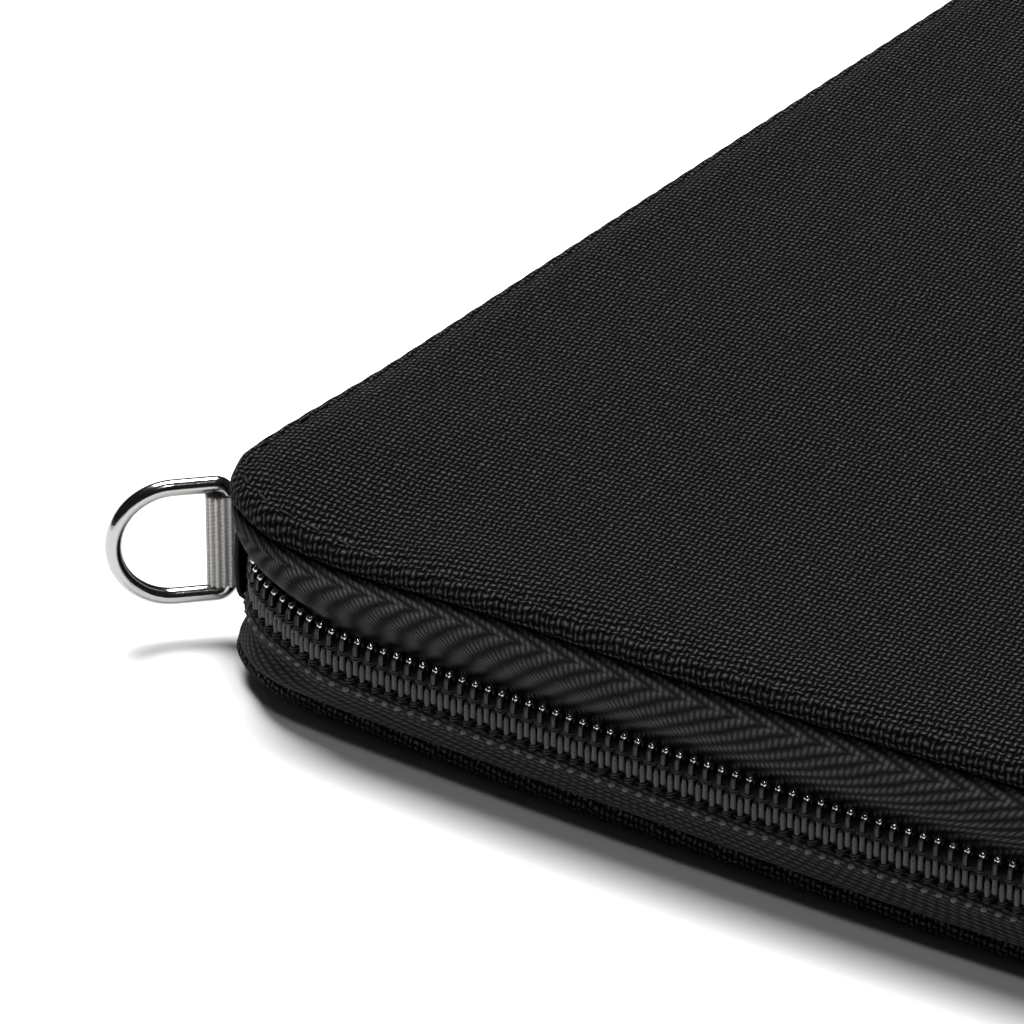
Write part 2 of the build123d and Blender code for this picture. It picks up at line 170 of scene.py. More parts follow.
def tube(points, radius, sides=6, closed=False, flat=1.0):
    """Points and quads of a tube along points. flat squashes its section along Z."""
    points = np.asarray(points, float)
    if closed:
        tangent = np.roll(points, -1, 0) - np.roll(points, 1, 0)
    else:
        tangent = np.gradient(points, axis=0)
    tangent /= np.linalg.norm(tangent, axis=1)[:, None]
    up = np.where(np.abs(tangent[:, 2:3]) > 0.9, (1.0, 0.0, 0.0), (0.0, 0.0, 1.0))
    a = np.cross(tangent, up)
    a /= np.linalg.norm(a, axis=1)[:, None]
    b = np.cross(tangent, a) * flat
    radius = np.broadcast_to(radius, len(points))[:, None]
    turns = [2 * pi * i / sides for i in range(sides)]
    verts = np.stack([points + radius * (a * cos(t) + b * sin(t)) for t in turns], 1).reshape(-1, 3)
    n = len(points)
    faces = []
    for j in range(n if closed else n - 1):
        low, high = j * sides, (j + 1) % n * sides
        for i in range(sides):
            after = (i + 1) % sides
            faces.append((low + i, high + i, high + after, low + after))
    if not closed:
        faces += [tuple(range(sides)), tuple(reversed(range((n - 1) * sides, n * sides)))]
    return verts, faces


def capsule(start, end, radius, flat=1.0, sides=8, taper=1.0):
    """A short round-ended rod. taper is how wide its start is beside its end."""
    start, end = np.array(start, float), np.array(end, float)
    stops = [(-0.98, 0.2), (-0.75, 0.66), (-0.35, 0.93), (0.0, 1.0)]
    length = np.linalg.norm(end - start)
    way = (end - start) / length
    path = [(start + way * (radius + radius * t), w * taper) for t, w in stops]
    path += [(end - way * (radius + radius * t), w) for t, w in reversed(stops)]
    return tube([p for p, w in path], [radius * w for p, w in path], sides, flat=flat)


# ---- the wallet's outline in plan ----
def stations(start, stop, corner, short, long, closed=False):
    """Places round the outline, as rows of corner number, share of the side after it, and outward angle.

    Corner 0 is the D-ring's and the rest follow anticlockwise, seen from above.
    """
    places = []
    for k in range(4):
        a, b = max(180 + 90 * k, start), min(270 + 90 * k, stop)
        places += [(k, 0.0, radians(a + (b - a) * i / corner)) for i in range(corner + 1)]
        if k < 3 or closed:
            n = short if k % 2 == 0 else long
            places += [(k, i / n, radians(b)) for i in range(1, n)]
    return np.array(places)


def outline(places, edge, radius, near_bow, spine=None, bulge=0.0):
    """Plan points at the places, edge mm beyond the covers' sides, or spine mm at the spine."""
    spine = edge if spine is None else spine
    x0, x1 = radius - HALF_W - spine, HALF_W + edge - radius
    y1 = HALF_L + edge - radius
    corners = np.array([(x0, -y1), (x1, -y1), (x1, y1), (x0, y1)])
    k = places[:, 0].astype(int)
    share, angle = places[:, 1:2], places[:, 2]
    centres = corners[k] * (1 - share) + corners[(k + 1) % 4] * share
    from_spine = np.abs((np.degrees(angle) % 360) - 180)
    near = np.clip((BULGE_NONE - from_spine) / (BULGE_NONE - BULGE_FULL), 0, 1)
    reach = radius + bulge * near * near * (3 - 2 * near)
    points = centres + reach[:, None] * np.stack([np.cos(angle), np.sin(angle)], -1)
    x, y = points[:, 0].copy(), points[:, 1].copy()
    u = np.clip((x + HALF_W) / (2 * HALF_W), 0, 1)
    v = np.clip((y + HALF_L) / (2 * HALF_L), 0, 1)
    y -= near_bow * 4 * u * (1 - u) * np.clip(-y / BOW_REACH, 0, 1)
    x += LONG_BOW * 4 * v * (1 - v) * np.clip(x / LONG_REACH, 0, 1)
    return np.stack([x, y], -1)


def lengths(points):
    """Distance along the points from the first."""
    steps = np.linalg.norm(np.diff(points, axis=0), axis=1)
    return np.concatenate([[0], np.cumsum(steps)])


def outward(points, closed=False):
    """Unit normals in plan of an anticlockwise run of points, pointing out."""
    if closed:
        tangent = np.roll(points, -1, 0) - np.roll(points, 1, 0)
    else:
        tangent = np.gradient(points, axis=0)
    tangent /= np.linalg.norm(tangent, axis=1)[:, None]
    return np.stack([tangent[:, 1], -tangent[:, 0]], -1)


def raised(points, z):
    return np.column_stack([points, np.broadcast_to(z, len(points))])


# ---- materials ----
class Value:
    """A socket that can be added, multiplied and so on, each step as a Math node."""

    def __init__(self, graph, socket):
        self.graph, self.socket = graph, socket

    def __add__(self, other):
        return self.graph.math("ADD", self, other)

    def __sub__(self, other):
        return self.graph.math("SUBTRACT", self, other)

    def __rsub__(self, other):
        return self.graph.math("SUBTRACT", other, self)

    def __mul__(self, other):
        return self.graph.math("MULTIPLY", self, other)

    def __truediv__(self, other):
        return self.graph.math("DIVIDE", self, other)

    def __mod__(self, other):
        return self.graph.math("FLOORED_MODULO", self, other)

    def __pow__(self, other):
        return self.graph.math("POWER", self, other)

    def max(self, other):
        return self.graph.math("MAXIMUM", self, other)

    def min(self, other):
        return self.graph.math("MINIMUM", self, other)

    def floor(self):
        return self.graph.math("FLOOR", self)

    def abs(self):
        return self.graph.math("ABSOLUTE", self)

    def cos(self):
        return self.graph.math("COSINE", self)


class Graph:
    """A material's nodes."""

    def __init__(self, name):
        self.material = bpy.data.materials.new(name)
        self.material.use_nodes = True
        self.tree = self.material.node_tree
        self.shader = self.tree.nodes["Principled BSDF"]

    def node(self, kind, settings=(), **inputs):
        made = self.tree.nodes.new("ShaderNode" + kind)
        for key, value in dict(settings).items():
            setattr(made, key, value)
        for key, value in inputs.items():
            self.put(made.inputs[key.replace("_", " ")], value)
        return made

    def put(self, socket, value):
        if isinstance(value, Value):
            value = value.socket
        if isinstance(value, bpy.types.NodeSocket):
            self.tree.links.new(value, socket)
        else:
            socket.default_value = value

    def math(self, operation, *values):
        made = self.node("Math", {"operation": operation})
        for socket, value in zip(made.inputs, values):
            self.put(socket, value)
        return Value(self, made.outputs[0])

    def cloth(self):
        """Place on the flat cloth, in millimetres."""
        parts = self.node("SeparateXYZ", Vector=self.node("UVMap", {"uv_map": "cloth"}).outputs[0])
        return Value(self, parts.outputs[0]), Value(self, parts.outputs[1])

    def place(self):
        """Place in the object's space, in millimetres."""
        where = self.node("TexCoord").outputs["Object"]
        return self.node("VectorMath", {"operation": "SCALE"}, Vector=where, Scale=1 / MM).outputs[0]

    def vector(self, *values):
        made = self.node("CombineXYZ")
        for socket, value in zip(made.inputs, values):
            self.put(socket, value)
        return made.outputs[0]

    def noise(self, vector, scale, detail=2.0, roughness=0.5):
        """Noise from 0 to 1, with features about 1/scale apart."""
        made = self.node("TexNoise", Vector=vector, Scale=scale, Detail=detail, Roughness=roughness)
        return Value(self, made.outputs["Fac"])

    def mix(self, share, low, high):
        made = self.node("Mix", {"data_type": "RGBA"})
        for index, value in ((0, share), (6, low), (7, high)):
            self.put(made.inputs[index], value)
        return made.outputs[2]

    def bump(self, height, depth):
        """Normal of a height from 0 to 1, depth mm deep."""
        return self.node("Bump", Height=height, Distance=depth * MM).outputs[0]

    def finish(self, **inputs):
        for key, value in inputs.items():
            self.put(self.shader.inputs[key.replace("_", " ")], value)
        return self.material


def grey(level, warmth=0.0):
    return (level * (1 + warmth), level, level * (1 - warmth), 1)


def plain_weave(u, v, narrow=1.0):
    """Height of a plain weave, from 0 to 1. u and v count threads, and narrow thins them."""
    i, j = u.floor(), v.floor()
    over = 1 - ((i + j) % 2) * 2
    across_x, across_y = ((u - i - 0.5) * pi).cos(), ((v - j - 0.5) * pi).cos()
    warp = (across_x ** narrow) * (over * across_y * 0.6 + 0.4).max(0.0)
    weft = (across_y ** narrow) * (over * across_x * -0.6 + 0.4).max(0.0)
    return warp.max(weft)


def nylon(name, warp=0.68, weft=0.8, skew=0.12, depth=0.5, dark=0.0004, light=0.088):
    """Coarse nylon in plain weave, with painted highlights on the threads' crests and painted shade in the gaps
    between them. warp and weft are the threads' pitches.
    """
    g = Graph(name)
    x, y = g.cloth()
    flat = g.vector(x, y, 0.0)
    wander = g.noise(flat, 0.35) - 0.5
    sway = g.noise(flat, 0.22) - 0.5
    u = (x + y * skew) / warp + wander * 1.2
    v = (y - x * skew) / weft + sway * 1.2
    fibre = g.noise(g.vector(u, v, 0.0), 2.2, 3.0, 0.6)
    lean = (fibre - 0.5) * 0.5
    height = plain_weave(u + lean, v - lean, 2.2)
    # painted light: the colour is bright on the threads' crests and dark as shade in the gaps between threads,
    # besides the fibres' random tone
    lit = (height ** 2.0) * (fibre * 2.8 - 0.55).max(0.0)
    colour = g.mix(lit.min(1.0), grey(dark), grey(light))
    normal = g.bump(height + fibre * 0.35, depth)
    return g.finish(Base_Color=colour, Roughness=0.7, Specular_IOR_Level=0.02, Normal=normal)


def twill(name, first=4.6, zone=9.2, row_pitch=1.3, lean=0.45, blob_pitch=0.66, depth=0.3, light=0.065):
    """Herringbone zip tape: leaning rows of short rounded floats, with painted highlights on the floats and
    painted shade in the grooves between them. They lean the other way before first mm.
    """
    g = Graph(name)
    along, across = g.cloth()
    band = ((across + (zone - first)) / zone) % 2
    v = (1 - (band - 1).abs()) * zone
    flat = g.vector(along, across, 0.0)
    wander = g.noise(flat, 0.5) - 0.5
    row = (v - along * lean) / row_pitch + wander * 0.3
    place = along / blob_pitch + row.floor() * 0.5
    fine = g.noise(flat, 4.0, 3.0, 0.6)
    ridge = (row * 2 * pi).cos() * -0.5 + 0.5
    blob = (place * 2 * pi).cos() * 0.5 + 0.5
    height = (ridge ** 0.8) * ((blob ** 0.6) * 0.6 + 0.2) + fine * 0.4
    # painted light: the colour follows the height, bright on the floats and dark as shade in the grooves
    # between rows, in both tape materials
    colour = g.mix((height ** 1.8).min(1.0), grey(0.0008), grey(light))
    return g.finish(Base_Color=colour, Roughness=0.75, Specular_IOR_Level=0.08, Normal=g.bump(height, depth))


def fine_cloth(name, level, pitch=0.32, depth=0.08):
    """Smooth fine plain cloth, for linings, bindings and tabs, with painted shade in the gaps between threads
    and painted highlights on their crests.
    """
    g = Graph(name)
    x, y = g.cloth()
    fine = g.noise(g.vector(x, y, 0.0), 1.5, 3.0)
    height = plain_weave(x / pitch, y / pitch)
    # painted light: the colour follows the weave's height, dark as shade in the gaps between threads and bright
    # on their crests, varied by the noise
    colour = g.mix(height * (fine * 0.6 + 0.5), grey(level * 0.4), grey(level * 1.6))
    normal = g.bump(height + fine, depth)
    return g.finish(Base_Color=colour, Roughness=0.7, Specular_IOR_Level=0.12, Normal=normal)


def thread(name, level, roughness=0.6):
    """Twisted sewing thread."""
    g = Graph(name)
    fine = g.noise(g.place(), 3.0, 3.0)
    colour = g.mix(fine, grey(level * 0.6), grey(level * 1.4))
    return g.finish(Base_Color=colour, Roughness=roughness, Specular_IOR_Level=0.15, Normal=g.bump(fine, 0.06))


def coil_plastic(name, roughness, gloss, index=1.5):
    """Monofilament nylon: black, with a slight haze of wear."""
    g = Graph(name)
    haze = g.noise(g.place(), 2.5, 3.0)
    colour = g.mix(haze, grey(0.004), grey(0.008))
    return g.finish(Base_Color=colour, Roughness=haze * 0.1 + roughness, Specular_IOR_Level=gloss, IOR=index,
                    Normal=g.bump(haze, 0.02))


def nickel(name, level=0.4, roughness=0.09):
    """Polished nickel plate with a faint unevenness."""
    g = Graph(name)
    worn = g.noise(g.place(), 0.9, 4.0, 0.6)
    colour = g.mix(worn, grey(level * 0.92, 0.02), grey(level * 1.05, 0.015))
    return g.finish(Base_Color=colour, Metallic=1.0, Roughness=worn * 0.1 + roughness,
                    Normal=g.bump(worn, 0.02))


def grosgrain():
    """Light ribbon. Its ribs are in the mesh, and the twist of their threads is here. Its colour also follows
    the ribs and the twist: painted shade in their grooves.
    """
    g = Graph("grosgrain")
    along, across = g.cloth()
    twist = (across * 14 + along * 5).cos() * 0.5 + 0.5
    rib = (along * (2 * pi / RIB)).cos() * 0.5 + 0.5
    fuzz = g.noise(g.vector(along, across, 0.0), 3.0, 3.0)
    height = twist * 0.5 + fuzz * 0.6
    # painted shade: the colour is dark in the grooves of the ribs and of the twist, light on their crests
    colour = g.mix(rib * 0.7 + height * 0.3, grey(0.2, 0.035), grey(0.74, 0.025))
    return g.finish(Base_Color=colour, Roughness=0.85, Specular_IOR_Level=0.1, Normal=g.bump(height, 0.08))


RIB = 0.72               # pitch of the ribbon's ribs
M_NYLON = nylon("nylon")
M_TWILL = twill("zip_tape")
M_LOWER_TWILL = twill("lower_zip_tape", row_pitch=0.62, lean=0.1, blob_pitch=1.1, depth=0.15, light=0.048)
M_LINING = fine_cloth("lining", level=0.02)
M_BINDING = fine_cloth("binding", level=0.012, pitch=0.5, depth=0.15)
M_POCKET = fine_cloth("pocket_cloth", level=0.026, pitch=0.4, depth=0.12)
M_TAB = fine_cloth("tab_cloth", level=0.012, pitch=0.4)
M_THREAD = thread("sewing_thread", 0.03)
M_BAR = thread("coil_cord", 0.06, 0.5)
M_KNOT = thread("knot_thread", 0.09, 0.6)
# the coil's core cord, its dark colour also painting the shade in the gaps between the bars
M_FILLER_AND_SHADE = thread("filler_cord_and_shade", 0.006, 0.8)
M_STITCH = thread("top_stitch", 0.002)
M_COIL = coil_plastic("coil_nylon", 0.28, 0.5)
M_BEND = coil_plastic("coil_bends", 0.1, 1.0, 3.0)
M_NICKEL = nickel("nickel")
M_RIBBON = grosgrain()

# ---- camera, floor and lights ----
VIEW_AZIMUTH, VIEW_ELEVATION = 34.388, 28.091
VIEW_TARGET = (-56.6, -66.0, 1.3)
VIEW_DISTANCE = 759.0
VIEW_LENS = 252.69


def aim(thing, place, target):
    thing.location = Vector(place) * MM
    thing.rotation_mode = "QUATERNION"
    thing.rotation_quaternion = (Vector(target) - Vector(place)).to_track_quat("-Z", "Y")


def add_camera():
    data = bpy.data.cameras.new("camera")
    data.lens, data.sensor_width = VIEW_LENS, 36.0
    data.clip_start, data.clip_end = 0.05, 20.0
    camera = bpy.data.objects.new("camera", data)
    bpy.context.scene.collection.objects.link(camera)
    a, e = radians(VIEW_AZIMUTH), radians(VIEW_ELEVATION)
    back = Vector((sin(a) * cos(e), -cos(a) * cos(e), sin(e)))
    aim(camera, Vector(VIEW_TARGET) + back * VIEW_DISTANCE, VIEW_TARGET)
    bpy.context.scene.camera = camera


def add_light(name, place, target, size, watts):
    data = bpy.data.lights.new(name, "AREA")
    data.energy, data.size = watts, size * MM
    light = bpy.data.objects.new(name, data)
    bpy.context.scene.collection.objects.link(light)
    aim(light, place, target)


def add_floor():
    size = 4000.0
    corners = [(-size, -size, 0), (size, -size, 0), (size, size, 0), (-size, size, 0)]
    floor = mesh_piece("floor", corners, [(0, 1, 2, 3)])
    floor.data.materials.append(Graph("floor_white").finish(
        Base_Color=grey(0.9), Roughness=0.9, Specular_IOR_Level=0.0))


def add_world():
    world = bpy.data.worlds.new("studio")
    world.use_nodes = True
    sky = world.node_tree.nodes["Background"]
    sky.inputs["Color"].default_value = grey(1.0)
    sky.inputs["Strength"].default_value = 0.02
    bpy.context.scene.world = world


add_camera()
add_floor()
add_world()
add_light("softbox", (-330, 190, 900), (-50, -70, 0), 560, 21)
add_light("glint", (230, -420, 820), (-50, -80, 10), 110, 0.95)
bpy.context.scene.view_settings.view_transform = "Standard"

# ---- covers ----
# From the seam over the rolled edge to the padded face: mm in from the side, mm over the seam
COVER_EDGE = [
    (3.4, 0.1), (1.2, 0.03), (0.4, 0.12), (0.08, 0.4), (-0.06, 0.85), (0.06, 1.35), (0.35, 1.85), (0.8, 2.25),
    (1.15, 2.42), (1.5, 2.42), (1.85, 2.4), (2.2, 2.5), (2.7, 2.65), (3.4, 2.8), (4.5, 2.95), (6.5, 3.0),
    (8.5, 3.02),
]
FLAT_FROM = 6            # row of the edge from which the cloth lies as in plan
STITCH_ROWS = (8, 9, 10)
ROLL_ROW = 3             # first row of the rolled edge that ripples
DIMPLE, RIPPLE = 0.16, 0.05
STITCH_IN = 1.5
STITCH_PITCH = 3.7
STITCH_LONG = 1.9
STITCH_RISE = 2.32       # of a stitch's thread over the seam
BARE_REACH = 24.0        # the top stitches show only this near to a corner, and sink into the nap elsewhere
CROWN_ROWS = 26
COVER_PLACES = stations(180, 540, 40, 200, 340, closed=True)
FIRM = 2.0               # the first mm over the seam, through which the edge takes up its lift
SPINE_LIFT, SPINE_SAG = 0.65, -0.2
CORNER = np.array([17.0 - HALF_W, -1.0 - HALF_L])
CORNER_DROOP = 1.3
DROOP_REACH = 9.5
CORNER_RAISE, RAISE_REACH = 0.9, 8.0
PLUMP, PLUMP_MIDDLE, MIDDLE_X, MIDDLE_REACH = 0.4, 0.4, -13.0, 16.0


def droop(plan):
    """How far the front cover hangs down round its D-ring corner."""
    return CORNER_DROOP * np.exp(-((plan - CORNER) ** 2).sum(1) / (2 * DROOP_REACH ** 2))


def corner_raise(plan):
    """How far the back cover's D-ring corner stands off the table."""
    from_corner = ((plan + (HALF_W, HALF_L)) ** 2).sum(1)
    return CORNER_RAISE * np.exp(-from_corner / (2 * RAISE_REACH ** 2))


def plump(plan):
    """How much thicker than its CAD solid the back cover is, more at the middle of its short sides."""
    return PLUMP + PLUMP_MIDDLE * np.exp(-((plan[:, 0] - MIDDLE_X) ** 2) / (2 * MIDDLE_REACH ** 2))


def smooth_step(value, low, high):
    """0 below low, 1 above high and an even rise between them."""
    share = np.clip((value - low) / (high - low), 0, 1)
    return share * share * (3 - 2 * share)


def spine_lift(plan):
    """How far the front cover's edge by the spine stands up, at its D-ring corner, or sags further on."""
    height = SPINE_LIFT + (SPINE_SAG - SPINE_LIFT) * smooth_step(plan[:, 1], -104, -76)
    return height * smooth_step(-plan[:, 0], 42, 54)


def cover_rows(bulge, crown, bow):
    """Rows of the cover's skin over its seam, and of the same points laid flat."""
    edge_plan = [outline(COVER_PLACES, -inset, max(COVER_RADIUS - inset, 0.5), bow, bulge=bulge)
                 for inset, rise in COVER_EDGE]
    rows = [raised(plan, rise) for plan, (inset, rise) in zip(edge_plan, COVER_EDGE)]
    cloth = list(edge_plan)
    out = outward(edge_plan[FLAT_FROM], closed=True)
    run = 0.0
    for k in reversed(range(FLAT_FROM)):
        a, b = COVER_EDGE[k], COVER_EDGE[k + 1]
        run += sqrt((a[0] - b[0]) ** 2 + (a[1] - b[1]) ** 2)
        cloth[k] = edge_plan[FLAT_FROM] + out * run
    for i in range(1, CROWN_ROWS):
        share = 1 - i / CROWN_ROWS
        plan = edge_plan[-1] * share
        rows.append(raised(plan, rows[len(COVER_EDGE) - 1][:, 2] + crown * (1 - share ** 2)))
        cloth.append(plan)
    return rows, cloth


def pucker(rows, run):
    """Dimple the rows that the top stitches pull down, and ripple the rolled edge between them."""
    wave = np.cos(run * (2 * pi / STITCH_PITCH))
    for k in STITCH_ROWS:
        rows[k][:, 2] -= DIMPLE * np.clip(wave, 0, 1)
    for k in range(ROLL_ROW, STITCH_ROWS[0]):
        rows[k][:, 2] -= RIPPLE * wave


def cover(body, bulge, crown):
    """One padded cover. crown is how far its middle stands over its edge."""
    front = body == "front"
    rows, cloth = cover_rows(bulge, crown, BOW[body])
    pucker(rows, lengths(rows[STITCH_ROWS[1]][:, :2]))
    for row in rows:
        if front:
            firm = np.clip(row[:, 2] / FIRM, 0, 1)
            row[:, 2] += UPPER_SEAM - droop(row[:, :2]) + spine_lift(row[:, :2]) * firm
        else:
            extra = plump(row[:, :2])
            low = LOWER_SEAM + extra + corner_raise(row[:, :2]) - row[:, 2] * (1 + extra / LOWER_SEAM)
            row[:, 2] = np.maximum(low, 0.0)
    centre = (np.array([(0, 0, rows[-1][0, 2])]), [(0, 0)])
    if not front:
        rows = [row[::-1] for row in rows]
        cloth = [flat[::-1] for flat in cloth]
    piece = skin(body + "_cover", rows, cloth, closed=True, thick=SHELL, centre=centre)
    placed(piece, M_NYLON, "nylon_shell", body, body + "_shell", body + "_foam")


def top_stitches():
    """Dashes of thread sunk into the front cover along its edge."""
    plan = outline(COVER_PLACES, -STITCH_IN, COVER_RADIUS - STITCH_IN, BOW["front"], bulge=COVER_BULGE)
    plan = np.vstack([plan, plan[:1]])
    run = lengths(plan)
    sunk = np.array([0.1, -0.02, -0.06, -0.02, 0.1])
    parts = []
    for k in range(int(run[-1] / STITCH_PITCH)):
        steps = k * STITCH_PITCH + STITCH_LONG * np.array([-0.5, -0.35, 0, 0.35, 0.5])
        xy = np.stack([np.interp(steps % run[-1], run, plan[:, i]) for i in (0, 1)], -1)
        from_corner = np.array([HALF_W, HALF_L]) - np.abs(xy[2])
        if from_corner.max() > BARE_REACH:
            continue
        z = (STITCH_RISE - sunk) + (UPPER_SEAM - droop(xy) + spine_lift(xy))
        parts.append(tube(np.column_stack([xy, z]), [0.1, 0.19, 0.21, 0.19, 0.1], 7))
    joined("front_top_stitches", parts, M_STITCH, "nylon_shell", "front")


cover("front", COVER_BULGE, 0.6)
cover("back", BACK_BULGE, 3.0)
top_stitches()

# ---- zip tapes ----
# From under the cover's edge to the chain: mm out, mm from the seam towards the chain, plan radius
UPPER_TAPE = [
    (-3.0, 0.05, 7.0), (-0.6, 0.0, 9.4), (0.5, 0.35, 11.0), (1.5, 1.1, 12.5), (2.2, 2.1, 14.0),
    (2.55, 3.2, 15.5), (2.55, 4.2, 17.0), (2.25, 5.1, 18.4), (1.8, 5.9, 19.2), (1.5, 6.8, 19.4),
    (1.4, 8.0, 19.4), (1.4, 9.0, 19.4),
]
LOWER_TAPE = [
    (-3.0, 0.05, 7.0), (-0.6, 0.0, 9.4), (0.5, 0.2, 11.0), (1.6, 0.7, 12.5), (2.5, 1.5, 14.5),
    (2.9, 2.4, 16.5), (3.0, 3.2, 18.5), (3.3, 4.0, 20.2), (3.65, 4.8, 21.3), (3.75, 5.4, 21.6),
    (3.55, 5.85, 21.4), (2.6, 6.0, 20.6), (1.4, 5.6, 19.4),
]
# How far each tape bulges at the spine's corners, by its distance from the seam
TAPE_BULGE = {
    "front": ((0.0, 1.5, 3.5, 7.0), (COVER_BULGE, 0.3, 0.3, ZIP_BULGE)),
    "back": ((0.0, 0.7, 1.5, 2.4, 3.2, 4.0, 4.8, 5.4),
             (BACK_BULGE, -0.2, -0.8, -0.5, 0.6, 1.7, 2.1, ZIP_BULGE)),
}
FRONT_FADE, BACK_FADE = 9, 6          # mm from the seam through which a tape still follows its cover


def zip_tape(body, profile):
    """One tape, from under its cover's edge to the chain."""
    front = body == "front"
    places = stations(180 + TAPE_START, 540 - TAPE_START, 34, 90, 160)
    rows, cloth = [], []
    across = 0.0
    for k, (edge, drop, radius) in enumerate(profile):
        share = np.clip((radius - COVER_RADIUS) / (CHAIN_RADIUS - COIL_THICK - COVER_RADIUS), 0, 1)
        bow = BOW[body] + (CHAIN_BOW - BOW[body]) * share
        plan = outline(places, edge, radius, bow, spine=edge - CHAIN_OUT * share,
                       bulge=np.interp(drop, *TAPE_BULGE[body]))
        if front:
            z = UPPER_SEAM - drop - droop(plan) * (1 - drop / FRONT_FADE)
        else:
            z = LOWER_SEAM + drop + (plump(plan) + corner_raise(plan)) * (1 - drop / BACK_FADE)
        rows.append(raised(plan, z))
        if k:
            across += sqrt((edge - profile[k - 1][0]) ** 2 + (drop - profile[k - 1][1]) ** 2)
        cloth.append(np.column_stack([lengths(plan), np.full(len(plan), across)]))
    for row in cloth:
        row[:, 0] = cloth[len(profile) // 2][:, 0]
    if front:
        rows.reverse()
        cloth.reverse()
    piece = skin(body + "_tape", rows, cloth, thick=TAPE)
    smooth = piece.modifiers.new("smooth", "SUBSURF")
    smooth.levels = smooth.render_levels = 1
    placed(piece, M_TWILL if front else M_LOWER_TWILL, "zip_tape", body, body + "_zip_tape")


zip_tape("front", UPPER_TAPE)
zip_tape("back", LOWER_TAPE)

# ---- the chain ----
# o is mm out from the tape's face, and h is mm from the chain's middle, up in the front half
WIRE_ALONG, WIRE_OUT = 0.24, 0.3
LEG_O, FOOT_O = 1.75, 0.5
BEND_RADIUS, BEND_MIDDLE = (LEG_O - FOOT_O) / 2, (LEG_O + FOOT_O) / 2
BEND_H = {"front": 2.05, "back": 1.6}
HEAD_H = -0.1
HEAD_WIDER = 1.15
BAR_O = 1.8
BAR_H = {"front": (0.9, -1.0), "back": (1.65, -0.25)}
BAR_RADIUS = 0.31
CROSSING_H = {"front": (1.12, 0.84), "back": (1.9, 1.6)}
STAGGER = {"front": 0.25, "back": -0.25}      # shift of each half's turns, in pitches
EARLY_TURNS = 3          # before the place that they are counted from
SLIDER_REACH = 0.9       # from the slider's edge to the last turn that it has closed
FILLER = (1.05, 1.0)
FILLER_RADIUS, FILLER_PAST = 0.62, 0.4
POLISHED_ARC = (0.5, 2.0)             # of a bend, in radians from its outer leg
POLISHED_RADII = [0.12, 0.3, 0.37, 0.39, 0.37, 0.3, 0.12]


def chain_line():
    """The tape's outer face at the chain, as points, outward normals and distance along."""
    places = stations(180 + CHAIN_START, 540 - CHAIN_START, 60, 200, 400)
    plan = outline(places, CHAIN_OUT - COIL_THICK, CHAIN_RADIUS - COIL_THICK, CHAIN_BOW, -COIL_THICK, ZIP_BULGE)
    return plan, outward(plan), lengths(plan)


CHAIN = chain_line()
CHAIN_FIRST = (radians(COUNT_START) - radians(CHAIN_START)) * CHAIN_RADIUS


def at(s, o, h, up, along=0.0):
    """Point of the chain at distance s, o mm out and h mm up, shifted along the chain."""
    plan, out, run = CHAIN
    p = np.array([np.interp(s, run, plan[:, i]) for i in (0, 1)])
    n = np.array([np.interp(s, run, out[:, i]) for i in (0, 1)])
    n /= np.linalg.norm(n)
    xy = p + n * o + np.array([-n[1], n[0]]) * along
    return np.array([xy[0], xy[1], CHAIN_Z + up * h])


def turns(body):
    """Distances along the chain of one half's turns. The last is just behind the closed slider."""
    first = STAGGER[body] * PITCH + CHAIN_FIRST
    end = CHAIN[2][-1]
    keep = []
    for s in first + PITCH * np.arange(-EARLY_TURNS, int(end / PITCH)):
        x, y, z = at(s, 0, 0, 1)
        past_slider = y > 0 and x < SLIDER_X + SLIDER_REACH
        if 0.2 < s < end and not past_slider:
            keep.append(s)
    return keep


def element_path(bend_h):
    """Closed centreline of one turn as (o, h, half-width along the chain)."""
    r, mid = BEND_RADIUS, BEND_MIDDLE
    arc = [pi * i / 8 for i in range(9)]
    bend = [(mid + r * cos(a), bend_h + r * sin(a), WIRE_ALONG) for a in arc]
    head = [(mid - r * cos(a), HEAD_H - r * sin(a), WIRE_ALONG * HEAD_WIDER) for a in arc]
    inner = [(FOOT_O, bend_h * 0.6, WIRE_ALONG), (FOOT_O, bend_h * 0.3, WIRE_ALONG)]
    outer = [(LEG_O, bend_h * 0.3, WIRE_ALONG), (LEG_O, bend_h * 0.6, WIRE_ALONG)]
    return bend + inner + head + outer


def coil(body, up):
    """Half a chain of single turns."""
    path = np.array(element_path(BEND_H[body]))
    flat = path[:, :2]
    way = np.roll(flat, -1, 0) - np.roll(flat, 1, 0)
    way /= np.linalg.norm(way, axis=1)[:, None]
    side = np.stack([way[:, 1], -way[:, 0]], -1)
    sides, ring = 10, len(path)
    angles = [2 * pi * i / sides for i in range(sides)]
    parts = []
    for s in turns(body):
        points = [
            at(s, flat[j, 0] + side[j, 0] * WIRE_OUT * cos(a), flat[j, 1] + side[j, 1] * WIRE_OUT * cos(a), up,
               path[j, 2] * sin(a))
            for j in range(ring) for a in angles
        ]
        quads = [(j * sides + i, j * sides + (i + 1) % sides, (j + 1) % ring * sides + (i + 1) % sides,
                  (j + 1) % ring * sides + i) for j in range(ring) for i in range(sides)]
        parts.append((np.array(points), quads if up > 0 else [q[::-1] for q in quads]))
    piece = joined(body + "_coil", parts, M_COIL, "coil", body)
    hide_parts(body + "_zip_coil")


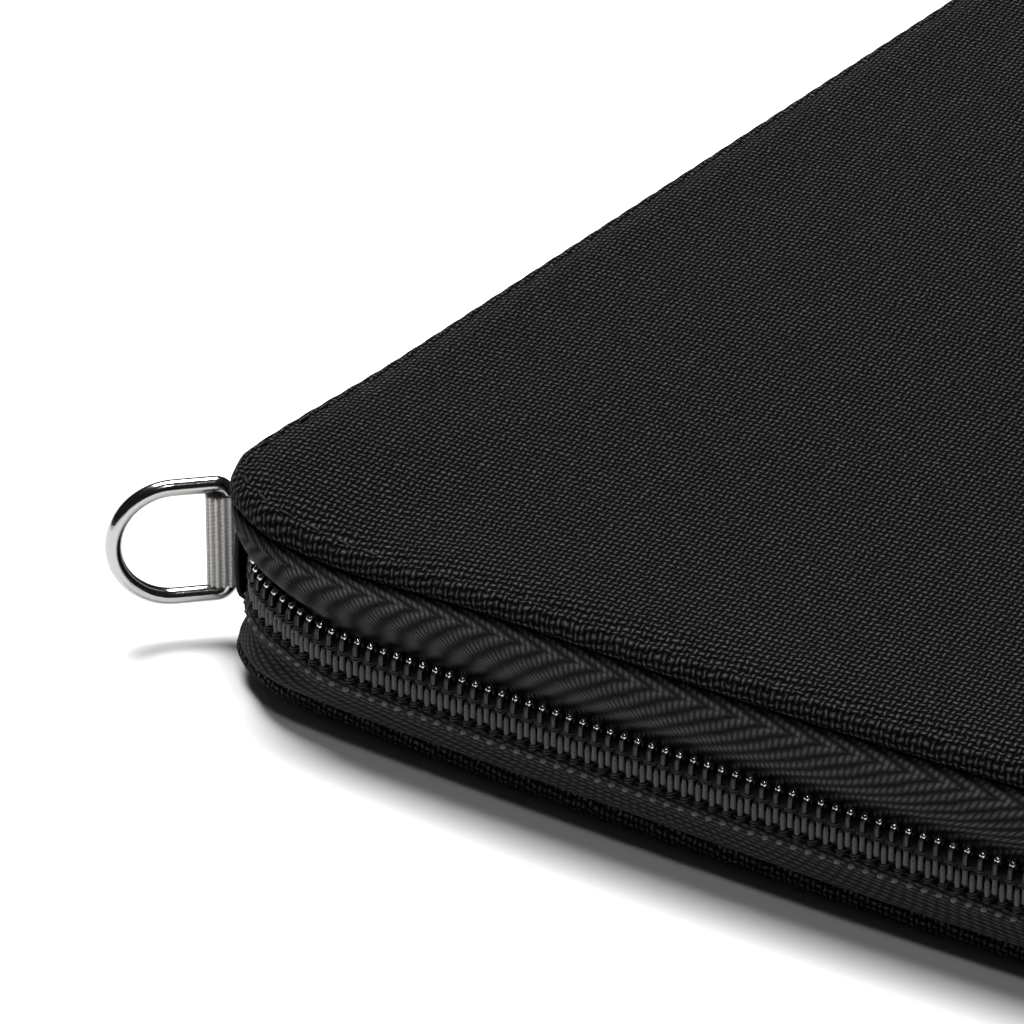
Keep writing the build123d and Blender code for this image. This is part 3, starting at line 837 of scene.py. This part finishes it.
def polished_bends():
    """The tops of the front half's turns, rubbed bright. Each is a short cap over its bend."""
    parts = []
    r, mid = BEND_RADIUS, BEND_MIDDLE
    arc = np.linspace(*POLISHED_ARC, len(POLISHED_RADII))
    for s in turns("front"):
        path = [at(s, mid + r * cos(a), BEND_H["front"] + r * sin(a), 1) for a in arc]
        parts.append(tube(path, POLISHED_RADII, 12))
    joined("front_coil_bends", parts, M_BEND, "coil", "front")


def bars(body, up):
    """The thick cord over each turn's head."""
    top, bottom = BAR_H[body]
    parts = []
    for s in turns(body):
        ends = [at(s, BAR_O, h, up) for h in (top, bottom)]
        parts.append(capsule(*ends, BAR_RADIUS, sides=10, taper=0.85))
    joined(body + "_coil_cord", parts, M_BAR, "coil", body)


def filler(body, up):
    """The soft cord that the coil is wound round. Being dark, it also fills the gaps between the bars, where
    shade falls: painted shade.
    """
    o, h = FILLER
    distances = turns(body)
    run = np.linspace(distances[0] - FILLER_PAST, distances[-1] + FILLER_PAST, 3 * len(distances))
    cord = tube([at(s, o, h, up) for s in run], FILLER_RADIUS, 8)
    joined(body + "_filler_cord_and_shade", [cord], M_FILLER_AND_SHADE, "coil", body)


def crossing_threads(body, up):
    """Two strands that cross each turn, and two thin ones along its outer leg."""
    face = LEG_O + WIRE_OUT
    dips = [(-0.8, -0.9), (-0.5, -0.7), (-0.3, -0.1), (-0.12, 0.06),
            (0.12, 0.06), (0.3, -0.1), (0.5, -0.7), (0.8, -0.9)]
    parts = []
    distances = turns(body)
    for h in CROSSING_H[body]:
        for s in distances:
            run = [at(s + ds, face + do, h - 0.1 * ds, up) for ds, do in dips]
            parts.append(tube(run, 0.1))
    if body == "front":
        legs = [(1.0, -0.02), (1.35, 0.03), (1.8, 0.03), (2.2, 0.0), (2.5, -0.12)]
        for s in distances:
            for side in (-0.12, 0.13):
                parts.append(tube([at(s, face + do, h, up, side) for h, do in legs], 0.045, 5))
    joined(body + "_coil_threads", parts, M_THREAD, "coil", body)


def tape_knots():
    """Stitches of the lower half chain, as knots on the fold of its tape."""
    parts = [capsule(at(s - 0.36, 2.3, -2.75, 1), at(s + 0.36, 2.35, -2.45, 1), 0.32, flat=0.8)
             for s in turns("back")]
    joined("back_tape_knots", parts, M_KNOT, "coil", "back")


for body, up in (("front", 1), ("back", -1)):
    coil(body, up)
    bars(body, up)
    filler(body, up)
    crossing_threads(body, up)
tape_knots()
polished_bends()

# ---- ribbon loop ----
RIBBON_HALF = 5.1
RIBBON_THICK = 0.5
LOOP_HALF = 1.25         # half the loop's thickness at the bar, on the ribbon's middle
LOOP_END = 2.35          # ribbon's middle at the loop's end, beyond the bar
NECK = -4.4              # where the loop is stitched together, before the bar
ROOT = -6.4              # its raw ends, inside the spine


def ring_frame():
    """Middle of the D-ring's bar, the way out along the ribbon, across its faces, and along the bar."""
    joint = next(j for j in frame["joints"] if j["name"] == "ring_swing")
    centre = np.array(joint["pos_m"]) / MM
    bar = np.array(joint["axis"])
    out = np.array([-cos(radians(45)), -sin(radians(45)), 0.0])
    return centre, out, np.cross(bar, out), bar


def ribbon():
    """Grosgrain doubled round the bar, its ribs part of the mesh."""
    centre, out, level, bar = ring_frame()
    r = LOOP_HALF
    side = [(ROOT, 0.27), (NECK, 0.3), (NECK + 1.2, 0.55), (-1.2, 1.05), (0.0, r), (LOOP_END - r, r)]
    arc = [(LOOP_END - r + r * sin(a), r * cos(a)) for a in np.linspace(0, pi, 14)[1:-1]]
    coarse = np.array(side + arc + [(x, -y) for x, y in reversed(side)])
    run = lengths(coarse)
    s = np.linspace(0, run[-1], 340)
    path = np.stack([np.interp(s, run, coarse[:, i]) for i in (0, 1)], -1)
    for _ in range(40):
        path[1:-1] = (path[:-2] + 2 * path[1:-1] + path[2:]) / 4
    rib = 0.085 * np.cos(2 * pi * s / RIB)
    face = outward(path)
    if face[len(s) // 2][0] < 0:
        face = -face
    path = path + face * rib[:, None]
    widths = RIBBON_HALF * np.linspace(-1, 1, 25)
    edge = 1 - 0.012 * np.cos(2 * pi * s / RIB + pi)
    rows = [np.array([centre + out * x + level * y + bar * w * e for w in widths])
            for (x, y), e in zip(path, edge)]
    cloth = [np.column_stack([np.full(len(widths), t), widths]) for t in s]
    piece = skin("ribbon", rows, cloth, thick=RIBBON_THICK)
    placed(piece, M_RIBBON, "ribbon", "spine", "ribbon_loop")


ribbon()

# ---- spine ----
SPINE_LOW, SPINE_HIGH = LOWER_SEAM - 0.3, UPPER_SEAM + 0.3
SPINE_SPLIT = (SPINE_LOW + SPINE_HIGH) / 2
SPINE_START = 22.0       # how far the panel goes round each corner, in degrees from -X
SPINE_PUFF = 1.9         # bulge of the spine at half its height
FOLD_LENGTH = 2.0        # of the spine's height at each hinge, where the spine is not bent
FOLD_PAST = 0.3


def spine_places():
    """Places along the spine, from round the far corner to round the near one."""
    arc = np.linspace(0, SPINE_START, 16)
    far = [(3, 0.0, radians(540 - a)) for a in arc[::-1]]
    side = [(3, i / 120, radians(540)) for i in range(1, 120)]
    near = [(0, 0.0, radians(180 + a)) for a in arc]
    return np.array(far + side + near)


def spine_half(name, z0, z1, depth, thick, material, slot, fold, nodes):
    """Half of the spine's height. depth is mm in from the outer face."""
    places = spine_places()
    rows, cloth = [], []
    for z in np.linspace(z1, z0, 25):
        puff = SPINE_PUFF * (1 - ((z - SPINE_SPLIT) / (SPINE_HIGH - SPINE_SPLIT)) ** 2)
        plan = outline(places, CHAIN_OUT - depth, CHAIN_RADIUS - depth, CHAIN_BOW, -depth, puff)
        rows.append(raised(plan, z))
        cloth.append(np.column_stack([np.full(len(plan), z), lengths(plan)]))
    piece = skin(name, rows, cloth, thick=thick)
    placed(piece, material, slot, None, *nodes)
    fold[0] * MM
    fold[1] * MM
    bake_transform(piece)


def spine():
    """The spine's cloth and lining, each in two halves."""
    layers = (
        ("spine_cloth", 0.0, 1.5, M_NYLON, "nylon_shell", ("spine_shell", "spine_foam")),
        ("spine_inside", 2.2, 0.4, M_LINING, "lining", ("spine_lining",)),
    )
    for name, depth, thick, material, slot, nodes in layers:
        spine_half(name + "_lower", SPINE_LOW, SPINE_SPLIT, depth, thick, material, slot,
                   (SPINE_LOW - FOLD_PAST, SPINE_LOW + FOLD_LENGTH), nodes)
        spine_half(name + "_upper", SPINE_SPLIT, SPINE_HIGH, depth, thick, material, slot,
                   (SPINE_HIGH - FOLD_LENGTH, SPINE_HIGH + FOLD_PAST), nodes)


spine()

# ---- end tabs ----
TAB_ANGLES = (10.0, 29.0)
TAB_HALF = 4.0
TAB_RISE = 0.4           # of a tab's middle over the chain's


def end_tab(name, node, near):
    """Cloth folded over an end of the chain, with rounded edges."""
    arc = np.radians(np.linspace(*TAB_ANGLES, 22))
    places = np.array([(0, 0.0, pi + a) if near else (3, 0.0, 3 * pi - a) for a in arc])
    if not near:
        places = places[::-1]
    rows, cloth = [], []
    profile = [(-1.6, 0.98), (-0.5, 1.0), (0.35, 0.98), (0.8, 0.9), (1.0, 0.78), (1.05, 0.5), (1.1, 0.2)]
    profile += [(o, -h) for o, h in reversed(profile)]
    for o, h in profile:
        plan = outline(places, CHAIN_OUT + o, CHAIN_RADIUS + o, CHAIN_BOW, o, ZIP_BULGE)
        rows.append(raised(plan, CHAIN_Z + TAB_RISE + TAB_HALF * h))
        cloth.append(np.column_stack([lengths(plan), np.full(len(plan), TAB_HALF * h)]))
    piece = skin(name, rows, cloth, thick=0.45)
    placed(piece, M_TAB, "binding", "spine", node)


end_tab("near_end_tab", "zip_end_tab_near", True)
end_tab("far_end_tab", "zip_end_tab_far", False)


# ---- inside: linings, bindings and pockets ----
BINDING_IN, BINDING_WIDTH = 2.0, 7.0
SEAM_IN = 1.6            # of the pockets' stitches from their edges


def panel(name, low, high, up, material, slot, body, *nodes, puff=0.2):
    """A flat panel of cloth between two corners, its middle puffed out. up is the way its face looks."""
    nx = max(4, int((high[0] - low[0]) / 3))
    ny = max(4, int((high[1] - low[1]) / 3))
    xs = np.linspace(low[0], high[0], nx)
    ys = np.linspace(low[1], high[1], ny)
    rows, cloth = [], []
    for y in ys:
        share_y = (y - low[1]) / (high[1] - low[1])
        share_x = (xs - low[0]) / (high[0] - low[0])
        swell = puff * (16 * share_y * (1 - share_y) * share_x * (1 - share_x)) ** 0.5
        swell += 0.06 * np.sin(xs * 0.31 + y * 0.11) * np.sin(y * 0.23)
        z = (high[2] if up > 0 else low[2]) + up * swell
        rows.append(np.column_stack([xs, np.full(nx, y), z]))
        cloth.append(np.column_stack([xs, np.full(nx, y)]))
    if up < 0:
        rows.reverse()
        cloth.reverse()
    piece = skin(name, rows, cloth, thick=max(0.3, high[2] - low[2]))
    placed(piece, material, slot, body, *nodes)


def inner_binding(body, z, up):
    """The band of tape round the inside of a cover, ribbed along its edges."""
    places = stations(180, 540, 20, 80, 140, closed=True)
    width = BINDING_WIDTH
    profile = [(0.0, 0.0), (0.15, 0.12), (0.6, 0.16), (width / 2, 0.1), (width - 0.6, 0.16),
               (width - 0.15, 0.12), (width, 0.0)]
    rows, cloth = [], []
    for inwards, rise in profile:
        inner = BINDING_IN + inwards
        plan = outline(places, -inner, max(COVER_RADIUS - inner, 0.6), BOW[body])
        rows.append(raised(plan, z + up * rise))
        cloth.append(np.column_stack([lengths(plan), np.full(len(plan), inwards)]))
    if up < 0:
        rows = [row[::-1] for row in rows]
        cloth = [flat[::-1] for flat in cloth]
    piece = skin(body + "_binding", rows, cloth, closed=True, thick=0.35)
    placed(piece, M_BINDING, "binding", body, body + "_inner_binding")


def dashes(name, runs, body, pitch=3.0, long=2.0, radius=0.14):
    """Stitches along straight runs from a to b."""
    parts = []
    for a, b in runs:
        a, b = np.array(a, float), np.array(b, float)
        length = np.linalg.norm(b - a)
        way = (b - a) / length
        for k in range(int(length / pitch)):
            start = a + way * (k * pitch + 0.5)
            parts.append(capsule(start, start + way * long, radius, sides=6))
    joined(name, parts, M_THREAD, "pocket_fabric", body)


def hem(name, a, b, body, radius=0.45):
    """A rolled hem along a pocket's mouth, from a to b."""
    a, b = np.array(a), np.array(b)
    points = [a + (b - a) * t for t in np.linspace(0, 1, 40)]
    joined(name, [tube(points, radius, 10, flat=0.7)], M_BINDING, "pocket_fabric", body)


def lining(body, up):
    """A cover's lining with its binding. up is the way that the lining's face looks."""
    low, high = mm(body + "_lining")
    places = stations(180, 540, 16, 60, 100, closed=True)
    rim = outline(places, -0.8, COVER_RADIUS - 0.8, BOW[body])
    z = high[2] if up > 0 else low[2]
    rows = [raised(rim * share, z) for share in np.linspace(1, 0.04, 22)]
    cloth = [row[:, :2] for row in rows]
    if up < 0:
        rows = [row[::-1] for row in rows]
        cloth = [flat[::-1] for flat in cloth]
    centre = (np.array([(0, 0, z)]), [(0, 0)])
    piece = skin(body + "_inside", rows, cloth, closed=True, thick=0.4, centre=centre)
    placed(piece, M_LINING, "lining", body, body + "_lining")
    low, high = mm(body + "_inner_binding")
    z = low[2] if up > 0 else high[2]
    inner_binding(body, z + up * 0.3, up)


def front_pocket(node):
    """A front pocket's panel with a hem at its mouth, at +Y, and stitches on its other edges."""
    low, high = mm(node)
    panel(node + "_cloth", low, high, -1, M_POCKET, "pocket_fabric", "front", node, node + "_edges")
    z = low[2] - 0.05
    hem(node + "_hem", (low[0] + 0.4, high[1] - 0.4, z + 0.2), (high[0] - 0.4, high[1] - 0.4, z + 0.2), "front")
    x0, x1, y0, y1 = low[0] + SEAM_IN, high[0] - SEAM_IN, low[1] + SEAM_IN, high[1] - 1
    runs = [((x0, y1, z), (x0, y0, z)), ((x0, y0, z), (x1, y0, z)), ((x1, y0, z), (x1, y1, z))]
    dashes(node + "_stitches", runs, "front")


SLIT_X, SLIT_HALF = 28.0, 4.0         # the zipped pocket's opening, along Y
SMALL_PITCH, SMALL_WIRE = 1.3, 0.24


def back_pocket():
    """The zipped pocket: two panels, the tapes between them and a small coil."""
    low, high = mm("zip_pocket_panels")
    nodes = ("zip_pocket_panels", "zip_pocket_edges")
    left = np.array([SLIT_X - SLIT_HALF, high[1], high[2]])
    right = np.array([SLIT_X + SLIT_HALF, low[1], low[2]])
    panel("zip_pocket_left", low, left, 1, M_POCKET, "pocket_fabric", "back", *nodes)
    panel("zip_pocket_right", right, high, 1, M_POCKET, "pocket_fabric", "back", *nodes)
    z = high[2] + 0.08
    x0, x1, y0, y1 = low[0] + SEAM_IN, high[0] - SEAM_IN, low[1] + SEAM_IN, high[1] - SEAM_IN
    s0, s1 = SLIT_X - SLIT_HALF - 1, SLIT_X + SLIT_HALF + 1
    runs = [((x0, y0, z), (x0, y1, z)), ((x0, y0, z), (x1, y0, z)), ((x0, y1, z), (x1, y1, z)),
            ((x1, y0, z), (x1, y1, z)), ((s0, y0, z), (s0, y1, z)), ((s1, y0, z), (s1, y1, z))]
    dashes("zip_pocket_stitches", runs, "back")
    tape_low, tape_high = mm("zip_pocket_tapes")
    coil_low, coil_high = mm("zip_pocket_coils")
    for side, name in ((-1, "left"), (1, "right")):
        edges = sorted((SLIT_X + side * SLIT_HALF, SLIT_X + side * 0.15))
        a = np.array([edges[0], tape_low[1], tape_low[2]])
        b = np.array([edges[1], tape_high[1], tape_high[2]])
        panel("zip_pocket_tape_" + name, a, b, 1, M_TWILL, "zip_tape", "back", "zip_pocket_tapes", puff=0.0)
    parts = []
    middle = (coil_low[2] + coil_high[2]) / 2
    half = (coil_high[2] - coil_low[2]) / 2
    for side in (-1, 1):
        for k in range(int((coil_high[1] - coil_low[1]) / SMALL_PITCH)):
            y = coil_low[1] + (k + 0.5 + 0.25 * side) * SMALL_PITCH
            path = [(SLIT_X + side * 0.7 + 1.25 * cos(a), y, middle + half * 0.72 * sin(a))
                    for a in np.linspace(0, 2 * pi, 12, endpoint=False)]
            parts.append(tube(path, SMALL_WIRE, 6, closed=True))
    piece = joined("zip_pocket_coil", parts, M_COIL, "coil", "back")
    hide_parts("zip_pocket_coils")


lining("front", -1)
lining("back", 1)
for pocket in ("slip_pocket", "passport_pocket", "card_slot_1", "card_slot_2", "card_slot_3"):
    front_pocket(pocket)
back_pocket()

# ---- metal ----
for node in ("d_ring", "zip_slider", "zip_pull", "zip_pocket_slider", "zip_pocket_pull", "zip_pocket_stops"):
    solid = frame["nodes"][node]
    solid.data.materials.clear()
    solid.data.materials.append(M_NICKEL)
